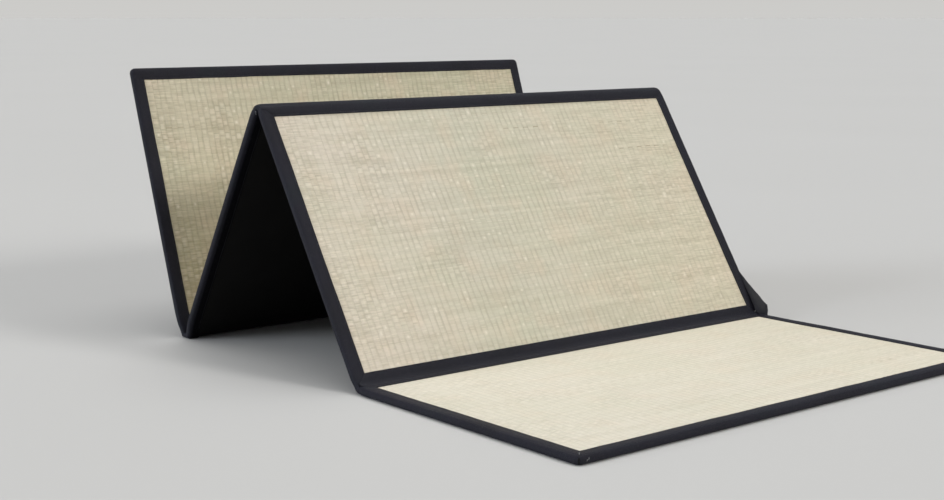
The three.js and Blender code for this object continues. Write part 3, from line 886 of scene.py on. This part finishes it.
bulge = bulge + WEB_CREASE * unevenness(yz[..., 0], yz[..., 1], 0.016, 150)
x = root_x - bulge - WEB_BULGE * up**2 + hem_turn * np.clip(height_of_web / 0.01, 0, 1)
web_points = np.concatenate([x[..., None], yz], axis=-1)
web_flat = np.stack([yz[..., 0], yz[..., 1]], axis=-1)
web = lay_grid("gusset_web", web_points, web_flat)
thicken(web, offset=0)
bpy.ops.object.mode_set(mode="EDIT")
bpy.ops.mesh.select_all(action="SELECT")
bpy.ops.mesh.normals_make_consistent(inside=False)
bpy.ops.object.mode_set(mode="OBJECT")
bpy.ops.object.shade_smooth_by_angle(angle=SHARP_FROM)
# The web's copy of the cloth is lifted towards grey: painted light on its shaded inner face.
web.data.materials.append(binding_finish("web_cloth_painted_lit", lift=0.65))
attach(web, "root")
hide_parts("gusset_ab")


# The seams
# One row of dark thread holds every binding edge, sewn through the whole panel, so it shows on the
# face and on the back. Each stitch is 3.4 mm long and lies a little askew in the seam's groove.
STITCH_LENGTH = 0.0034
STITCH_PITCH = 0.0045
THREAD_RADIUS = 0.00032


def thread_finish():
    finish = Finish("black_thread", roughness=0.55, sheen=0.1)
    place = finish.object_place()
    tone = finish.ramp(
        finish.noise(place, 160, detail=2),
        (0.40, (0.012, 0.012, 0.016)),
        (0.66, (0.034, 0.034, 0.042)),
        (0.74, (0.20, 0.20, 0.21)),
    )
    finish.colour(tone)
    finish.relief(finish.times(finish.noise(place, 1500, detail=0), 0.0001))
    return finish.material


bpy.ops.object.select_all(action="DESELECT")
bpy.ops.mesh.primitive_uv_sphere_add(segments=4, ring_count=3, radius=1)
one_stitch = bpy.context.object
bpy.ops.object.mode_set(mode="EDIT")
bpy.ops.transform.resize(value=(STITCH_LENGTH / 2, THREAD_RADIUS * 1.25, THREAD_RADIUS))
bpy.ops.object.mode_set(mode="OBJECT")
stitch_points = read_points(one_stitch)
stitch_faces = [tuple(face.vertices) for face in one_stitch.data.polygons]
bpy.data.objects.remove(one_stitch)
dark_thread = thread_finish()


def sew(start, end, height, rng):
    """Points of the stitches of one straight seam from (x, s) start to end at height n."""
    start, end = np.array(start), np.array(end)
    count = int(np.linalg.norm(end - start) / STITCH_PITCH)
    along = (end - start) / np.linalg.norm(end - start)
    middle = start + np.outer((np.arange(count) + 0.5) / count, end - start)
    middle += rng.normal(0, 0.00012, middle.shape)
    askew = rng.normal(0.05, 0.05, count)
    forward = np.stack([along[0] - askew * along[1], along[1] + askew * along[0]], axis=-1)
    aside = np.stack([-forward[:, 1], forward[:, 0]], axis=-1)
    flat = middle[:, None] + stitch_points[None, :, :1] * forward[:, None]
    flat = flat + stitch_points[None, :, 1:2] * aside[:, None]
    n = height + np.broadcast_to(stitch_points[None, :, 2], flat.shape[:2])
    return np.concatenate([flat, n[..., None]], axis=-1)


def stitch_piece(name, points, material):
    """One piece of many stitches, from the points of each (stitch, corner, 3)."""
    count, size = points.shape[:2]
    faces = [tuple(v + size * k for v in face) for k in range(count) for face in stitch_faces]
    mesh = bpy.data.meshes.new(name)
    mesh.from_pydata(points.reshape(-1, 3).tolist(), [], faces)
    stitches = bpy.data.objects.new(name, mesh)
    bpy.context.collection.objects.link(stitches)
    mesh.shade_smooth()
    mesh.materials.append(material)
    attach(stitches, "root")


for number, panel in enumerate(panels):
    rng = np.random.default_rng(160 + number)
    front = panel.front_cover
    back = panel.length - panel.back_cover
    seam_x = HALF_WIDTH - BINDING_WIDTH + STITCH_INSET
    face_n = THICKNESS + float(flap_height(BINDING_WIDTH - STITCH_INSET, BINDING_WIDTH)) + 0.0001
    strip_n = face_n + STRIP_LIFT + FLAP_SINK
    seams = []
    for low, high, n in ((front - 0.001, back + 0.001, face_n), (0.024, panel.length - 0.024, 0.0)):
        for x in (-seam_x, seam_x):
            seams.append(sew((x, low), (x, high), n, rng))
    for edge, inward, free in ((front, -1, panel.front_free), (back, 1, panel.back_free)):
        seam_s = edge + inward * STITCH_INSET
        seams.append(sew((-seam_x, seam_s), (seam_x, seam_s), face_n if free else strip_n, rng))
        if free:
            seams.append(sew((-seam_x, seam_s), (seam_x, seam_s), 0.0, rng))
    local = np.concatenate(seams)
    if panel is panel_a:
        local[..., 2] = np.maximum(local[..., 2], 0.0)
    stitched = panel.place(local[..., 0], local[..., 1], local[..., 2])
    stitch_piece(f"seam_stitches_{panel.name}", stitched, dark_thread)


# The gusset's seams and the bar tacks
# The web is stitched down along its root and its hem on both sides, and a few tight stitches of grey
# thread close the tape at the web's foot, at the mat's front corners and under the ridge.
WEB_STITCHES = 26
WEB_STITCH_SIZE = 0.8
TACK_SIZE = np.array([1.1, 0.95, 0.95])
TACK_PITCH = 0.0016


def grey_thread_finish():
    finish = Finish("grey_thread", roughness=0.6, sheen=0.1)
    tone = finish.noise(finish.object_place(), 700, detail=2)
    finish.colour(finish.ramp(tone, (0.35, (0.22, 0.22, 0.23)), (0.65, (0.50, 0.50, 0.49))))
    return finish.material


def lay_stitches(name, middles, forwards, outs, size, material):
    """Stitches at the given middles, each along its forward direction and lying on its out direction."""
    forward = forwards / np.linalg.norm(forwards, axis=1)[:, None]
    aside = np.cross(outs, forward)
    aside /= np.linalg.norm(aside, axis=1)[:, None]
    out = np.cross(forward, aside)
    shape = stitch_points * size
    points = middles[:, None] + shape[None, :, :1] * forward[:, None]
    points = points + shape[None, :, 1:2] * aside[:, None] + shape[None, :, 2:] * out[:, None]
    stitch_piece(name, points, material)


web_rows = np.linspace(1, len(web_points) - 2, WEB_STITCHES)
low_row = np.floor(web_rows).astype(int)
part = (web_rows - low_row)[:, None]
middles, forwards, outs = [], [], []
for column in (4, 12):
    for side in (-1, 1):
        line = web_points[low_row, column] * (1 - part) + web_points[low_row + 1, column] * part
        clear = 0.0007 if side < 0 or column < 12 else 0.0021
        middles.append(line + np.array([side * clear, 0, 0]))
        forwards.append(np.gradient(line, axis=0))
        outs.append(np.tile([float(side), 0.0, 0.0], (WEB_STITCHES, 1)))
middles, forwards, outs = map(np.concatenate, (middles, forwards, outs))
lay_stitches("gusset_stitches", middles, forwards, outs, WEB_STITCH_SIZE, dark_thread)


def tack(panel, x, s, n, forward, out):
    """Middles, forward and out directions of a tack's stitches, from places on a panel's own frame."""
    return panel.place(x, s + 0 * x, n + 0 * x), np.tile(forward, (len(x), 1)), np.tile(out, (len(x), 1))


step = np.arange(4)
foot_x = 0.4412 + step[:3] * 0.0011
tacks = [tack(panel_b, foot_x, 0.0042, THICKNESS + 0.0018, (0.2, 0.54, 0.84), (0.0, -0.84, 0.54))]
for side in (-1, 1):
    corner_x = side * (0.4380 + step * TACK_PITCH)
    corner_s = 0.0120 - step * TACK_PITCH
    corner_n = THICKNESS + FLAP_CROWN
    tacks.append(tack(panel_a, corner_x, corner_s, corner_n, (-side, 1.0, 0.0), (0.0, 0.0, 1.0)))
for side in (-1, 1):
    rim_x = side * (0.4330 + step[:2] * 0.0030)
    rim_n = np.array([0.0078, 0.0062])
    tacks.append(tack(panel_a, rim_x, -0.0002, rim_n, (0.3, 0.0, 1.0), (0.0, -1.0, 0.0)))
under_ridge = [(-0.4485, ridge_y + 0.0008, ridge_z - drop) for drop in (0.0020, 0.0038, 0.0060)]
tacks.append((under_ridge, [(0.0, 1.0, 0.25)] * 3, [(-1.0, 0.0, 0.0)] * 3))
middles, forwards, outs = map(np.concatenate, zip(*tacks))
askew = np.random.default_rng(170).normal(0, 0.16, forwards.shape)
lay_stitches("bar_tacks", middles, forwards + askew, outs, TACK_SIZE, grey_thread_finish())


# The floor, the light and the camera
# A plain pale floor, soft light from above, the front and the back left, and the camera at the place and
# angle from which the mat's straight edges line up as they do in the photograph.
FOCAL_PIXELS = 1548.9
BACKDROP = (0.605, 0.60, 0.583, 1)
FRAME_WIDTH = 944
SENSOR = 36.0
CAMERA_PLACE = (-1.7289, -1.9314, 0.5531)
CAMERA_YAW = 39.4
CAMERA_PITCH = 8.63

bpy.ops.object.select_all(action="DESELECT")
bpy.ops.mesh.primitive_plane_add(size=600, location=(0, 0, -0.0002))
floor = bpy.context.object
floor.name = "studio_floor"
pale = Finish("pale_floor", roughness=0.85)
cloudy = pale.noise(pale.object_place(), 0.6)
pale.colour(pale.ramp(cloudy, (0.3, (0.522, 0.517, 0.504)), (0.7, (0.530, 0.525, 0.512))))
floor.data.materials.append(pale.material)


def soft_sun(name, towards, angle, strength, colour):
    """Even soft light that comes from the given direction."""
    light = bpy.data.lights.new(name, "SUN")
    light.angle = math.radians(angle)
    light.energy = strength
    light.color = colour
    lamp = bpy.data.objects.new(name, light)
    bpy.context.collection.objects.link(lamp)
    tilt = math.atan2(math.hypot(towards[0], towards[1]), towards[2])
    lamp.rotation_euler = (tilt, 0, math.atan2(towards[1], towards[0]) + math.pi / 2)


soft_sun("top", (0.10, 0.10, 1.0), 70, 1.90, (1.0, 0.995, 0.985))
soft_sun("front", (0.30, -0.85, 0.42), 14, 1.45, (1.0, 0.99, 0.975))
soft_sun("left", (-0.92, 0.30, 0.28), 35, 1.9, (0.86, 0.92, 1.0))

world = bpy.data.worlds.new("studio")
bpy.context.scene.world = world
world.use_nodes = True
world.node_tree.nodes["Background"].inputs["Color"].default_value = (0.96, 0.98, 1.0, 1)
world.node_tree.nodes["Background"].inputs["Strength"].default_value = 0.21
bpy.context.scene.view_settings.view_transform = "Standard"

bpy.ops.mesh.primitive_cylinder_add(vertices=96, radius=280, depth=160, end_fill_type="NOTHING")
backdrop = bpy.context.object
backdrop.name = "studio_backdrop"
bpy.ops.object.mode_set(mode="EDIT")
bpy.ops.mesh.select_all(action="SELECT")
bpy.ops.mesh.flip_normals()
bpy.ops.object.mode_set(mode="OBJECT")
bpy.ops.object.shade_smooth()
glow = Finish("pale_backdrop", roughness=1.0)
faint = glow.noise(glow.object_place(), 0.01)
glow.colour(glow.ramp(faint, (0.3, (0.0, 0.0, 0.0)), (0.7, (0.001, 0.001, 0.001))))
glow.shader.inputs["Emission Color"].default_value = BACKDROP
glow.shader.inputs["Emission Strength"].default_value = 1.0
glow.shader.inputs["Specular IOR Level"].default_value = 0.0
backdrop.data.materials.append(glow.material)
backdrop.visible_shadow = False
backdrop.visible_diffuse = False
backdrop.visible_glossy = False

lens = bpy.data.cameras.new("camera")
lens.sensor_width = SENSOR
lens.lens = FOCAL_PIXELS * SENSOR / FRAME_WIDTH
lens.clip_start, lens.clip_end = 0.05, 1000
camera = bpy.data.objects.new("camera", lens)
bpy.context.collection.objects.link(camera)
camera.location = CAMERA_PLACE
camera.rotation_euler = (math.radians(90 - CAMERA_PITCH), 0, math.radians(-CAMERA_YAW))
bpy.context.scene.camera = camera
